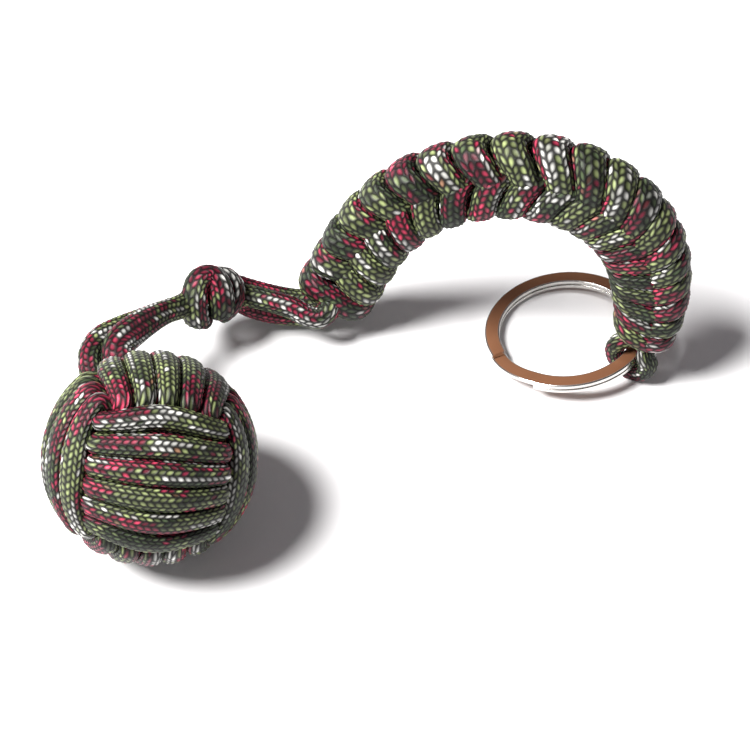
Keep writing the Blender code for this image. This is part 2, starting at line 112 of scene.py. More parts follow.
# Brightness of a stitch: painted shade in its groove and a painted highlight on its top, over its
# fibres, and painted glints that differ from one stitch to another
GROOVE_SHADE_AND_HIGHLIGHT = (0.06, 1.56)
FIBRE_TONES = (0.7, 1.3)
STITCH_GLINTS = (0.62, 2.07)
STITCH_GLINT_POWER = 2.5
STITCH_GLINT_SPREAD = 7.0
FIBRES_ACROSS = 9.0
FIBRE_SCALE = 6.0
FIBRE_RELIEF = 0.15
CORD_ROUGHNESS = (0.6, 0.4)

# Metals: the plain ball, and the ring with a painted brown reflection on its two faces
STEEL = (0.55, 0.55, 0.56, 1)
STEEL_ROUGHNESS = 0.25
NICKEL = (0.72, 0.70, 0.67, 1)
NICKEL_ROUGHNESS = 0.16
WORN_SHARE = 0.75
WEAR_SCALE = 300.0
WEAR_RANGE = (0.35, 0.7)
WEAR_ROUGHNESS = 0.12
GRAIN_SCALE = 2500.0
PAINTED_FACE_REFLECTION = ((0.26, 0.118, 0.062, 1), (0.16, 0.068, 0.035, 1))
PAINTED_REFLECTION_METALLIC = 0.45
REFLECTION_TONE_SCALE = 60.0
REFLECTION_TONE_RANGE = (0.25, 0.75)
# Middle of a face in each half of the wire's U, and how far from it the painted brown reflection
# starts and ends to go
FACE_MIDDLE = 0.45
FACE_HALF = (0.045, 0.06)

# Braid of the cord's cover: the stitches of odd columns lean one way and the others the other
BRAID_COLUMNS = 16
STITCH_LENGTH = 1.25 * MM
STITCH_HEIGHT = 0.16 * MM
STITCH_LEAN = 0.4
DOME_POWER_ACROSS = 2.0
DOME_POWER_ALONG = 2.5
DOME_FLATNESS = 0.6

# Sections of a cord, and how its ends close
SPLINE_STEPS = 40
SECTION_STEP = 0.3125 * MM
SECTION_POINTS = 32
SECTION_POWER = 0.82
LEAST_SECTIONS = 8
END_ROUNDING = 1.4 * MM
END_LEAST = 0.02
CORD_THICKNESS = 3.9 * MM
CORD_ABOVE_FLOOR = 0.05 * MM

# Where the pattern starts on each cord, so that no two show the same patches
FIST_PATTERN_STEP = 0.37
LEAD_PATTERN = 0.8
LEAD_PATTERN_STEP = 0.13
FRONT_BIGHT_PATTERN = 2.2
BACK_BIGHT_PATTERN = 2.6
NECK_PATTERN = 3.1
NECK_PATTERN_STEP = 0.23
PLAIN_PATTERN = 1.3
CHEVRON_PATTERN_STEP = 0.071
CHEVRON_PATTERN_HALF = 0.4
EYE_PATTERN = 4.4

# Fist: its middle, and how it is tipped about X, turned about Z and rolled about the line of sight
FIST_CENTRE = np.array([-41.79, -20.3, 18.7]) * MM
FIST_TIP = math.radians(-38.5)
FIST_TURN = math.radians(20)
FIST_ROLL = math.radians(-20)
# Each set of turns goes over two faces and under the next two, where it is pinched and flattened
FIST_OVER_RADIUS = 17.9 * MM
FIST_UNDER_RADIUS = 14.0 * MM
FIST_STRAND_THICKNESS = 3.7 * MM
FIST_PINCH = 0.26
FIST_PINCH_REACH = math.radians(60)
FIST_OVER_WIDTH = 1.05
FIST_UNDER_NARROWING = 0.1
FIST_UNDER_FLATTENING = 0.3
# How a turn dives under the next set's edge, and changes over to its own next lane
FIST_DIVE = math.radians(10)
FIST_DIVE_EARLY = math.radians(2.0)
FIST_EDGE_INSET = 0.1
FIST_EDGE_SHARE = 0.82
FIST_LANE_CHANGE = 0.14
FIST_STEPS_PER_TURN = 360
# Each set: its number of turns, from one to the next, which of its own axes become X, Y and Z, and
# how far it is shifted along its axis, these two lengths in metres
FIST_SETS = {
    "fist_front": (6, 4.5 * MM, (0, 1, 2), 0.0),
    "fist_top": (5, 4.75 * MM, (2, 0, 1), 0.9 * MM),
    "fist_side": (5, 5.3 * MM, (1, 2, 0), 0.0),
}

# Lead: its route from inside the fist to the knot
LEAD_ROUTE = [
    (-46.6, -23.0, 19.6),
    (-48.6, -20.0, 20.6),
    (-50.2, -16.5, 21.3),
    (-50.9, -12.8, 21.7),
    (-50.0, -9.0, 21.1),
    (-47.5, -4.8, 19.4),
    (-44.0, -0.3, 17.2),
    (-41.0, 3.3, 15.3),
    (-38.2, 5.9, 13.9),
]
LEAD_SAMPLES = 200
LEAD_INTO_KNOT = 0.3
# Each strand: how far it lies beside the route at the fist, and its width there
LEAD_STRANDS = {"lead_a": (-2.9, 4.6), "lead_b": (2.7, 6.0)}
LEAD_END_WIDTH = 4.7
LEAD_END_OFFSET = 0.25
# Shares of the route from which the strands narrow and turn about it, and over which they do
LEAD_NARROWS = (0.46, 0.34)
LEAD_TURNS = (0.35, 0.52)

# Stopper knot
KNOT_CENTRE = (-33.4, 10.4, 12.0)
KNOT_AXIS = (0.861, 0.412, -0.300)
KNOT_HALF = 6.5 * MM
KNOT_STRAND = 5.4 * MM
KNOT_ASIDE = 0.7 * MM
KNOT_SAMPLES = 200
# Its two bights, from its middle: right, up and towards the viewer
FRONT_BIGHT = [
    (-2.5, -5.6, 1.0),
    (-2.7, -3.4, 3.6),
    (-2.7, 0.0, 4.9),
    (-1.8, 2.8, 4.3),
    (0.1, 3.7, 3.4),
    (1.8, 1.9, 3.5),
    (2.4, -1.4, 3.0),
    (2.2, -4.2, 0.8),
]
BACK_BIGHT = [
    (1.0, -4.2, -0.6),
    (3.8, -2.2, -0.4),
    (4.9, 0.8, -0.4),
    (3.6, 3.3, -1.2),
    (0.2, 3.4, -2.6),
    (-3.0, 1.4, -2.8),
    (-4.0, -1.8, -2.0),
    (-2.2, -4.2, -1.4),
    (0.4, -4.6, -1.0),
]

# Neck: its strands' size, and shares of half the knot at which they start in it and leave it
NECK_WIDTH = 4.4 * MM
NECK_THICKNESS = 3.8 * MM
NECK_FROM = 0.4
NECK_LEAVES = 0.75
NECK_SPREAD_INSIDE = 1.2 * MM
NECK_SPREAD = 1.25 * MM
NECK_LOWER = 0.5
NECK_FLATTER = 0.7
NECK_DROP_SHARE = 0.6
NECK_BEFORE_BAR = 0.6 * MM
NECK_INTO_BAR = 4.5 * MM
NECK_SAMPLES = 160
NECK_CURVE_SAMPLES = 60
NECK_CURVE_STEP = 6
NECK_ARCH_SAMPLES = 100
# Where each strand leaves the knot, across it and over it
NECK_STARTS = {
    "neck_strand_a": (-1, 1),
    "neck_strand_b": (1, -1),
    "neck_strand_c": (1, 1),
    "neck_strand_d": (-1, -1),
}
# How far three strands lean out of the knot, drop there, and come up straight into the bar
NECK_LEANS = {
    "neck_strand_a": (1.0, 0.4, 5.6),
    "neck_strand_b": (1.6, 4.1, 8.3),
    "neck_strand_d": (5.1, 3.0, 8.2),
}
# Where these three enter the bar: out of its bend and towards its flat side, in halves of the
# core's spacing
NECK_ENDS = {
    "neck_strand_a": (0.8, 0.0),
    "neck_strand_b": (-0.8, 0.0),
    "neck_strand_d": (0.0, -0.6),
}
# The fourth, in front, bends round under the bar's first wrap: right, up and towards the viewer,
# from the bar's end
FRONT_BEND = [
    (-9.0, -2.4, 4.6),
    (-5.0, -4.4, 4.6),
    (-2.4, -4.6, 4.6),
    (-0.9, -2.8, 4.4),
    (-1.0, 0.4, 3.0),
]

# Arch: where its foot stands, which way it heads and leans, and its route along and up
ARCH_FOOT = (-7.5, 13.0)
ARCH_HEADING = math.radians(-12.7)
ARCH_LEAN = math.radians(12)
ARCH_ROUTE = [
    (-1.3, 7.6),
    (2.2, 15.5),
    (6.4, 24.5),
    (13.6, 33.4),
    (22.8, 39.2),
    (33.0, 42.2),
    (43.5, 41.8),
    (52.6, 37.8),
    (59.1, 30.4),
    (62.1, 20.0),
    (61.4, 10.0),
]

# Bar: where each wrap's outermost point lies along the arch, and how many of them are plain
BAR_WRAPS = (
    2.0, 7.9, 13.7, 19.6, 25.6, 31.6, 37.7, 44.1, 50.6, 57.1,
    62.9, 68.2, 72.9, 77.0, 80.8, 84.5, 88.1, 91.9, 95.6, 99.2,
)
BAR_PLAIN_WRAPS = 1
BAR_HALF_WIDE = 6.2 * MM
BAR_HALF_DEEP = 3.95 * MM
BAR_CORNER = 0.45
BAR_STRAND = 5.4 * MM
BAR_OUTER_SPREAD = 0.2
BAR_ROOM = 1.12
BAR_SAMPLES = 600
BAR_BEND_SMOOTHING = 61
# How much more the bar's outer side stands out at each place along it
BAR_SWELL = [
    (0, 0.0),
    (40, 0.1),
    (52, 0.7),
    (64, 1.3),
    (74, 1.0),
    (84, 0.0),
    (92, -1.2),
    (100, -2.4),
]
# How much narrower its inner side gets near the ring, from where, and over what length
BAR_INNER_NARROWING = 0.2
BAR_NARROW_FROM = 90 * MM
BAR_NARROW_OVER = 10 * MM
# A plain wrap's lead along the bar at each quarter of a turn, in pitches, and its two ends
PLAIN_LEADS = (0.0, 0.10, -0.35, 0.20)
PLAIN_LEAD_BEFORE = 0.3
PLAIN_START = -0.4 * math.pi
PLAIN_END = -0.6 * math.pi
PLAIN_END_DROP = 3.0 * MM
PLAIN_END_REACH = math.radians(50)
PLAIN_STEPS_PER_TURN = 360
PLAIN_SMOOTHING = 90
# How each half of a chevron runs, over the bar's outer edge and over its inner one: degrees from
# that edge, its lead along the bar in pitches, and how deep it lies under the others
CHEVRON_HALVES = (
    [
        (0, 0.0, 0.0),
        (45, 0.20, -0.3),
        (75, 0.50, 0.2),
        (92, 0.72, 1.5),
        (112, 0.90, 3.3),
    ],
    [
        (0, -0.35, 0.0),
        (50, 0.0, -0.3),
        (75, 0.33, -0.3),
        (95, 0.70, 0.6),
        (112, 1.0, 2.2),
        (124, 1.15, 3.2),
    ],
)
CHEVRON_WIDTHS = (1.04, 0.98)
CHEVRON_SAMPLES = 300
CHEVRON_LEAD_SMOOTHING = 30
CHEVRON_DROP_SMOOTHING = 20
# The first chevron's share of the full lead, and how many wraps on it is full
CHEVRON_FIRST_LEAD = 0.45
CHEVRON_GROWTH_WRAPS = 8

# Core cord through the bar, and the eye at its end
CORE_DIAMETER = 3.6 * MM
CORE_SPACING = 4.1 * MM
CORE_WIDTH = 3.7 * MM
CORE_THICKNESS = 3.5 * MM
CORE_POINTS = 30
CORE_SAMPLES = 1200
EYE_CLEARANCE = 0.25 * MM
EYE_WRAP = math.radians(40)
EYE_PLACE = (50.8, 0.4)
EYE_HEIGHT_SHARE = 0.4
EYE_POINTS = 9
EYE_REACH = 18 * MM
EYE_FADE = 6 * MM

# Split ring of flat wire
RING_OUTER_DIAMETER = 33.0 * MM
RING_FACE_WIDTH = 3.0 * MM
RING_WIRE_THICKNESS = 0.95 * MM
RING_COIL_GAP = 0.1 * MM
RING_SPLIT_ANGLE = math.radians(223)
RING_STEP_HALF_ANGLE = math.radians(20)
RING_HEADING = math.radians(-35)
RING_CORNER = 0.28 * MM
RING_CORNER_POINTS = 5
RING_SECTIONS = 440
RING_SHARP_ANGLE = math.radians(40)
RING_TILT_ROUNDS = 20
RING_ABOVE_FLOOR = 0.02 * MM


def unit(v):
    v = np.asarray(v, dtype=float)
    return v / np.linalg.norm(v, axis=-1, keepdims=True)


def smooth_step(t):
    t = np.clip(t, 0.0, 1.0)
    return t * t * (3 - 2 * t)


def smoothed(values, window):
    """The moving average of the values, with the ends held."""
    half = window // 2
    weights = np.ones(2 * half + 1) / (2 * half + 1)
    return np.convolve(np.pad(values, half, "edge"), weights, "valid")


def lengths_along(points):
    return np.concatenate([[0], np.cumsum(np.linalg.norm(np.diff(points, axis=0), axis=1))])


def columns_at(places, run, columns):
    """Rows of columns at the given places; run is the place of each row that there is."""
    return np.stack([np.interp(places, run, c) for c in columns.T], 1)


def evenly(columns, samples):
    """Rows of columns at even distances along the points, which are its first columns."""
    run = lengths_along(columns[:, :3])
    return columns_at(np.linspace(0, run[-1], samples), run, columns)


def spline_through(points, samples):
    """Points along a Catmull-Rom curve through the given ones, evenly spaced along it."""
    p = np.asarray(points, dtype=float)
    p = np.vstack([2 * p[0] - p[1], p, 2 * p[-1] - p[-2]])
    fine = []
    for i in range(1, len(p) - 2):
        a, b, c, d = p[i - 1 : i + 3]
        for t in np.linspace(0, 1, SPLINE_STEPS, endpoint=False):
            bend = (2 * a - 5 * b + 4 * c - d) * t**2 + (3 * b - a - 3 * c + d) * t**3
            fine.append(0.5 * (2 * b + (c - a) * t + bend))
    fine.append(p[-2])
    return evenly(np.array(fine), samples)


def bezier(handles, samples):
    t = np.linspace(0, 1, samples)[:, None]
    a, b, c, d = handles
    return (1 - t) ** 3 * a + 3 * (1 - t) ** 2 * t * b + 3 * (1 - t) * t**2 * c + t**3 * d


# Materials


class Graph:
    """Short ways to add shader nodes and to link them."""

    def __init__(self, material):
        self.nodes = material.node_tree.nodes
        self.links = material.node_tree.links

    def add(self, kind, inputs=(), **settings):
        node = self.nodes.new(kind)
        for key, value in settings.items():
            setattr(node, key, value)
        for key, value in dict(inputs).items():
            self.put(node.inputs[key], value)
        return node

    def put(self, socket, value):
        if isinstance(value, bpy.types.NodeSocket):
            self.links.new(value, socket)
        else:
            socket.default_value = value

    def math(self, operation, a, b=0.0, c=0.0, clamp=False):
        node = self.add("ShaderNodeMath", operation=operation, use_clamp=clamp)
        for socket, value in zip(node.inputs, (a, b, c)):
            self.put(socket, value)
        return node.outputs[0]

    def between(self, value, low, high):
        """low where value is 0, and high where it is 1."""
        return self.math("MULTIPLY_ADD", value, high - low, low)

    def mix(self, factor, a, b):
        node = self.add("ShaderNodeMix", data_type="RGBA")
        self.put(node.inputs["Factor"], factor)
        self.put(node.inputs["A"], a)
        self.put(node.inputs["B"], b)
        return node.outputs["Result"]

    def ramp(self, value, low, high):
        """0 below low, 1 above high."""
        node = self.add("ShaderNodeMapRange", interpolation_type="SMOOTHSTEP")
        self.put(node.inputs["Value"], value)
        self.put(node.inputs["From Min"], low)
        self.put(node.inputs["From Max"], high)
        return node.outputs["Result"]

    def noise(self, vector, scale, detail=1.0):
        node = self.add("ShaderNodeTexNoise", noise_dimensions="3D")
        self.put(node.inputs["Vector"], vector)
        node.inputs["Scale"].default_value = scale
        node.inputs["Detail"].default_value = detail
        return node.outputs["Fac"]

    def vector(self, x, y, z):
        node = self.add("ShaderNodeCombineXYZ")
        for socket, value in zip(node.inputs, (x, y, z)):
            self.put(socket, value)
        return node.outputs[0]

    def cord_uv(self):
        """The place round the cord or the ring's wire, and the place along it."""
        uv = self.add("ShaderNodeUVMap", uv_map="cord").outputs[0]
        split = self.add("ShaderNodeSeparateXYZ", {"Vector": uv})
        return split.outputs["X"], split.outputs["Y"]


def new_material(name):
    """A node material, the graph to build it in, and its shader."""
    material = bpy.data.materials.new(name)
    material.use_nodes = True
    g = Graph(material)
    return material, g, g.nodes["Principled BSDF"]


def cord_material():
    """Braided polyester: each stitch has one colour of the dyed pattern and its own small relief,
    with painted shade and highlight.
    """
    material, g, shader = new_material("camouflage_cord")
    u, v = g.cord_uv()
    around = g.math("MULTIPLY", u, float(BRAID_COLUMNS))
    column = g.math("FLOOR", around)
    across = g.math("SUBTRACT", g.math("FRACT", around), 0.5)
    odd = g.math("MODULO", column, 2.0)
    lean = g.math("MULTIPLY", across, g.between(odd, -STITCH_LEAN, STITCH_LEAN))
    along = g.math("DIVIDE", v, STITCH_LENGTH)
    along = g.math("ADD", along, g.math("MULTIPLY_ADD", odd, 0.5, lean))
    stitch = g.math("FLOOR", along)
    within = g.math("SUBTRACT", g.math("FRACT", along), 0.5)
    # Relief of one stitch: a long dome
    from_ridge = g.math("ABSOLUTE", g.math("MULTIPLY", across, 2.0))
    from_middle = g.math("ABSOLUTE", g.math("MULTIPLY", within, 2.0))
    fall_across = g.math("POWER", from_ridge, DOME_POWER_ACROSS)
    fall_along = g.math("POWER", from_middle, DOME_POWER_ALONG)
    dome = g.math("SUBTRACT", 1.0, g.math("ADD", fall_across, fall_along), clamp=True)
    # The middle of the stitch, on a cylinder, so that the pattern closes round the cord
    turn = g.math("MULTIPLY", column, math.tau / BRAID_COLUMNS)
    place = g.math("MULTIPLY", stitch, STITCH_LENGTH / PATTERN_LENGTH)
    round_x = g.math("COSINE", turn)
    round_y = g.math("SINE", turn)

    def tone(name, jitter):
        """How much of the named tone the stitch has."""
        size, scale, away, low, high = PATTERN_TONES[name]
        x = g.math("MULTIPLY_ADD", round_x, size, away)
        middle = g.vector(x, g.math("MULTIPLY", round_y, size), place)
        return g.ramp(g.math("ADD", g.noise(middle, scale), jitter), low, high)

    cell = g.vector(column, stitch, 0.0)
    random = g.add("ShaderNodeTexWhiteNoise", {"Vector": cell}, noise_dimensions="2D").outputs[0]
    jitter = g.between(random, -PATTERN_JITTER, PATTERN_JITTER)
    crimson = tone("crimson", jitter)
    dark = tone("dark", jitter)
    white = tone("white", g.math("MULTIPLY", jitter, WHITE_JITTER_SHARE))
    white = g.math("MULTIPLY", white, g.ramp(random, *WHITE_STITCHES))
    green = g.mix(dark, GREEN_LIGHT, GREEN_DARK)
    dark_red = g.math("MAXIMUM", dark, g.ramp(random, *DARK_STITCHES))
    colour = g.mix(crimson, green, g.mix(dark_red, CRIMSON, CRIMSON_DARK))
    colour = g.mix(white, colour, WHITE)
    # Painted highlight on the top of each stitch and painted shade at its edges, with its fibres
    crown = g.between(g.math("POWER", dome, 2.0), *GROOVE_SHADE_AND_HIGHLIGHT)
    fibre_place = g.vector(g.math("MULTIPLY", across, FIBRES_ACROSS), place, random)
    fibre = g.noise(fibre_place, FIBRE_SCALE)
    crown = g.math("MULTIPLY", crown, g.between(fibre, *FIBRE_TONES))
    # Painted glints: some stitches are made brighter than others, at random
    painted_glint = g.math("FRACT", g.math("MULTIPLY", random, STITCH_GLINT_SPREAD))
    painted_glint = g.between(g.math("POWER", painted_glint, STITCH_GLINT_POWER), *STITCH_GLINTS)
    crown = g.math("MULTIPLY", crown, painted_glint)
    shaded = g.add("ShaderNodeVectorMath", operation="SCALE")
    g.put(shaded.inputs[0], colour)
    g.put(shaded.inputs["Scale"], crown)
    g.put(shader.inputs["Base Color"], shaded.outputs[0])
    g.put(shader.inputs["Roughness"], g.between(dome, *CORD_ROUGHNESS))
    shader.inputs["Specular IOR Level"].default_value = 0.3
    height = g.math("ADD", dome, g.math("MULTIPLY", fibre, FIBRE_RELIEF))
    bump = g.add("ShaderNodeBump", {"Height": height})
    bump.inputs["Strength"].default_value = 0.9
    bump.inputs["Distance"].default_value = 0.22 * MM
    g.put(shader.inputs["Normal"], bump.outputs[0])
    return material


def metal_material(name, colour, roughness, faces=None):
    """Metal with faint wear; faces is the colour of a painted brown reflection on a flat wire's two
    faces, by its own U.
    """
    material, g, shader = new_material(name)
    place = g.add("ShaderNodeTexCoord").outputs["Object"]
    wear = g.noise(place, WEAR_SCALE, 3.0)
    grain = g.noise(place, GRAIN_SCALE, 2.0)
    worn = tuple(c * WORN_SHARE for c in colour[:3]) + (1,)
    base = g.mix(g.ramp(wear, *WEAR_RANGE), colour, worn)
    metallic = 1.0
    if faces:
        # The flat faces get a painted brown reflection, in two tones and less metallic
        u, _ = g.cord_uv()
        in_half = g.math("FRACT", g.math("MULTIPLY", u, 2.0))
        from_face = g.math("ABSOLUTE", g.math("SUBTRACT", in_half, FACE_MIDDLE))
        painted_reflection_mask = g.math("SUBTRACT", 1.0, g.ramp(from_face, *FACE_HALF))
        tone = g.ramp(g.noise(place, REFLECTION_TONE_SCALE, 2.0), *REFLECTION_TONE_RANGE)
        base = g.mix(painted_reflection_mask, base, g.mix(tone, faces[0], faces[1]))
        metallic = g.between(painted_reflection_mask, 1.0, PAINTED_REFLECTION_METALLIC)
    g.put(shader.inputs["Base Color"], base)
    g.put(shader.inputs["Roughness"], g.math("MULTIPLY_ADD", wear, WEAR_ROUGHNESS, roughness))
    g.put(shader.inputs["Metallic"], metallic)
    bump = g.add("ShaderNodeBump", {"Height": grain})
    bump.inputs["Strength"].default_value = 0.06
    bump.inputs["Distance"].default_value = 0.02 * MM
    g.put(shader.inputs["Normal"], bump.outputs[0])
    return material


# Cords


def stitch_relief(around, along):
    """Height of the braid, from 0 to 1, at a place round the cord (turns) and along it."""
    u = around * BRAID_COLUMNS
    column = np.floor(u)
    across = u - column - 0.5
    odd = column % 2
    v = along / STITCH_LENGTH + 0.5 * odd + across * (2 * STITCH_LEAN * odd - STITCH_LEAN)
    within = v - np.floor(v) - 0.5
    fall_across = np.abs(2 * across) ** DOME_POWER_ACROSS
    fall_along = np.abs(2 * within) ** DOME_POWER_ALONG
    return np.clip(1 - fall_across - fall_along, 0, 1) ** DOME_FLATNESS


def braided_tube(path, outward, width, thickness, start=0.0):
    """Rings of points of a braided tube along path, and how far along it each ring lies.

    Its width lies across, and its thickness along the outward direction.
    """
    count = len(path)
    width = np.broadcast_to(width, count)
    thickness = np.broadcast_to(thickness, count)
    outward = np.broadcast_to(outward, (count, 3))
    columns = np.column_stack([path, outward, width, thickness])
    samples = max(LEAST_SECTIONS, int(lengths_along(path)[-1] / SECTION_STEP))
    columns = evenly(columns, samples)
    line, outward = columns[:, :3], columns[:, 3:6]
    width, thickness = columns[:, 6], columns[:, 7]
    ahead = unit(np.gradient(line, axis=0))
    lift = unit(outward - ahead * np.sum(outward * ahead, axis=1)[:, None])
    side = np.cross(ahead, lift)
    run = lengths_along(line)
    # Two points for each column, on its ridge and in the groove beside it
    turn = np.arange(SECTION_POINTS) / SECTION_POINTS
    angle = math.tau * turn
    flat = np.sign(np.cos(angle)) * np.abs(np.cos(angle)) ** SECTION_POWER
    tall = np.sign(np.sin(angle)) * np.abs(np.sin(angle)) ** SECTION_POWER
    from_end = np.minimum(run, run[-1] - run)
    round_end = 1 - (1 - np.clip(from_end / END_ROUNDING, 0, 1)) ** 2
    close = np.sqrt(np.clip(round_end, END_LEAST, 1))
    relief = STITCH_HEIGHT * (stitch_relief(turn[None, :], (run + start)[:, None]) - 0.5)
    half_wide = (width / 2 * close)[:, None] + relief
    half_tall = (thickness / 2 * close)[:, None] + relief
    points = (
        line[:, None]
        + side[:, None] * (half_wide * flat)[:, :, None]
        + lift[:, None] * (half_tall * tall)[:, :, None]
    )
    points[:, :, 2] = np.maximum(points[:, :, 2], CORD_ABOVE_FLOOR)
    return points, run + start


def braided_cord(name, path, outward, width, thickness, material, start=0.0):
    """A piece that is one braided tube."""
    return cord_object(name, [braided_tube(path, outward, width, thickness, start)], material)


def cord_object(name, tubes, material):
    """A mesh of tubes, each rings of points and their V, with closed ends and the cord's own U."""
    vertices, faces, uvs = [], [], []
    for points, run in tubes:
        first = sum(len(v) for v in vertices)
        rings, around = points.shape[:2]
        ring, k = np.meshgrid(np.arange(rings - 1), np.arange(around), indexing="ij")
        k_next = (k + 1) % around
        this_ring, next_ring = ring * around, (ring + 1) * around
        corners = (this_ring + k, this_ring + k_next, next_ring + k_next, next_ring + k)
        quads = first + np.stack(corners, -1).reshape(-1, 4)
        vertices.append(points.reshape(-1, 3))
        faces += quads.tolist()
        faces.append(list(range(first + around - 1, first - 1, -1)))
        faces.append([first + (rings - 1) * around + i for i in range(around)])
        u, u_next = k / around, (k + 1) / around
        low, high = run[ring], run[ring + 1]
        pairs = ((u, low), (u_next, low), (u_next, high), (u, high))
        uvs.append(np.stack([np.stack(pair, -1) for pair in pairs], -2).reshape(-1, 2))
        ends = np.zeros((2 * around, 2))
        ends[:, 0] = np.tile(np.arange(around) / around, 2)
        ends[:around, 1] = run[0]
        ends[around:, 1] = run[-1]
        uvs.append(ends)
    mesh = bpy.data.meshes.new(name)
    mesh.from_pydata(np.vstack(vertices).tolist(), [], faces)
    mesh.uv_layers.new(name="cord").data.foreach_set("uv", np.vstack(uvs).ravel())
    mesh.materials.append(material)
    mesh.shade_smooth()
    obj = bpy.data.objects.new(name, mesh)
    bpy.context.scene.collection.objects.link(obj)
    return obj


# Fist


def fist_rotation():
    a, b = FIST_TIP, FIST_TURN
    tip = np.array([[1, 0, 0], [0, math.cos(a), -math.sin(a)], [0, math.sin(a), math.cos(a)]])
    turn = np.array([[math.cos(b), -math.sin(b), 0], [math.sin(b), math.cos(b), 0], [0, 0, 1]])
    cross = np.cross(np.eye(3), TO_VIEWER)
    roll = np.eye(3) + math.sin(FIST_ROLL) * cross + (1 - math.cos(FIST_ROLL)) * cross @ cross
    return roll @ turn @ tip


def fist_set(turns, pitch, shift, edge):
    """One set of turns: over the ball at +Y and -Y, and under the next set at +X and -X.

    edge is how far from the middle the outer side of that next set runs. Returns the points, and
    each strand's width and thickness.
    """
    angle = np.pi + np.linspace(0, math.tau * turns, turns * FIST_STEPS_PER_TURN + 1)
    turn = (angle - np.pi) / math.tau
    nearest = np.floor(turn + 0.5)
    step = smooth_step((turn - nearest + FIST_LANE_CHANGE / 2) / FIST_LANE_CHANGE)
    share = (nearest - 1 + step) / ((turns - 1) / 2) - 1
    from_front = np.arccos(np.clip(np.abs(np.sin(angle)), 0, 1))
    pinch = 1 - FIST_PINCH * smooth_step(from_front / FIST_PINCH_REACH)
    offset = share * (turns - 1) / 2 * pitch * pinch + shift * pinch
    edge_radius = FIST_EDGE_SHARE * FIST_OVER_RADIUS
    along_edge = np.arcsin(np.clip(np.abs(offset) / edge_radius, 0, 1))
    edge = edge * (1 - FIST_PINCH * smooth_step(along_edge / FIST_PINCH_REACH))
    reach = np.sqrt(np.clip(FIST_OVER_RADIUS**2 - edge**2 - offset**2, 0, None))
    dive = np.arctan2(reach, edge) - FIST_DIVE_EARLY
    under = smooth_step((from_front - dive) / FIST_DIVE + 0.5)
    radius = FIST_OVER_RADIUS + (FIST_UNDER_RADIUS - FIST_OVER_RADIUS) * under
    level = np.sqrt(radius**2 - offset**2)
    points = np.stack([level * np.cos(angle), level * np.sin(angle), offset], 1)
    width = pitch * pinch * (FIST_OVER_WIDTH - FIST_UNDER_NARROWING * under)
    return points, width, FIST_STRAND_THICKNESS * (1 - FIST_UNDER_FLATTENING * under)


def make_fist(cord):
    """Three sets of turns, each of which dives under the next one."""
    edges = {}
    for name, (turns, pitch, _, _) in FIST_SETS.items():
        edges[name] = (turns / 2 - FIST_EDGE_INSET) * pitch
    crossing = {"fist_front": "fist_side", "fist_top": "fist_front", "fist_side": "fist_top"}
    solids = {
        "fist_front": "fist_turns_front",
        "fist_top": "fist_turns_top",
        "fist_side": "fist_turns_side",
    }
    rotation = fist_rotation()
    for k, (name, (turns, pitch, order, shift)) in enumerate(FIST_SETS.items()):
        points, width, thickness = fist_set(turns, pitch, shift, edges[crossing[name]])
        points = points[:, order] @ rotation.T
        path, start = points + FIST_CENTRE, FIST_PATTERN_STEP * k
        piece = braided_cord(name, path, unit(points), width, thickness, cord, start)
        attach(piece, "fist")
        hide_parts(solids[name])


# Bar


def arch_axes():
    """Along the arch, up it, and square to both, which is the way that the bar's flat side faces."""
    along = np.array([math.cos(ARCH_HEADING), math.sin(ARCH_HEADING), 0])
    back = np.array([-along[1], along[0], 0])
    up = math.cos(ARCH_LEAN) * np.array([0, 0, 1]) + math.sin(ARCH_LEAN) * back
    return along, up, np.cross(along, up)


def arch_line(samples):
    """The bar's centreline with, at each point, the way out of the bend and the way on."""
    flat = spline_through(np.array(ARCH_ROUTE) * MM, samples)
    ahead = unit(np.gradient(flat, axis=0))
    along, up, _ = arch_axes()
    foot = np.array([*ARCH_FOOT, 0]) * MM + SHIFT
    line = foot + flat[:, :1] * along + flat[:, 1:] * up
    outward = -ahead[:, 1:] * along + ahead[:, :1] * up
    forward = ahead[:, :1] * along + ahead[:, 1:] * up
    return line, outward, forward


def bend_of(forward, run):
    """How sharply the arch bends at each point, as one over the radius."""
    along, up, _ = arch_axes()
    heading = np.unwrap(np.arctan2(forward @ up, forward @ along))
    return smoothed(-np.gradient(heading, run), BAR_BEND_SMOOTHING)


def bar_pitch(place):
    """The distance between the wraps there."""
    wraps = np.array(BAR_WRAPS) * MM
    return np.interp(place, (wraps[1:] + wraps[:-1]) / 2, np.diff(wraps))


def bar_strand(angle, place, drop, width, start):
    """A strand round the bar: angle is 0 at the bar's outer edge and a quarter turn in front."""
    line, outward, forward = arch_line(BAR_SAMPLES)
    run = lengths_along(line)
    cosine, sine = np.cos(angle), np.sin(angle)
    outer = np.clip(cosine, 0, 1)
    beyond = np.clip(place - run[-1], 0, None)[:, None] * forward[-1]
    beyond += np.clip(place, None, 0)[:, None] * forward[0]
    centre = columns_at(place, run, line) + beyond
    out = unit(columns_at(place, run, outward))
    flat_side = arch_axes()[2]
    corner = np.clip(cosine / BAR_CORNER, -1, 1)
    deep = BAR_HALF_DEEP - drop
    wider = (BAR_HALF_WIDE - BAR_HALF_DEEP) * corner * (1 - drop / BAR_HALF_DEEP)
    swell = np.interp(place / MM, *np.array(BAR_SWELL).T) * MM
    wide = wider + deep * cosine + swell * outer
    narrowed = BAR_INNER_NARROWING * smooth_step((place - BAR_NARROW_FROM) / BAR_NARROW_OVER)
    wide = wide * (1 - narrowed * (cosine < 0))
    path = centre + wide[:, None] * out + (deep * sine)[:, None] * flat_side
    normal = cosine[:, None] * out + sine[:, None] * flat_side
    bend = np.interp(place, run, bend_of(forward, run))
    room = bar_pitch(place) * (1 + bend * wide) * BAR_ROOM
    width = width * (1 + BAR_OUTER_SPREAD * outer**2)
    return braided_tube(path, unit(normal), np.minimum(width, room), CORD_THICKNESS, start)


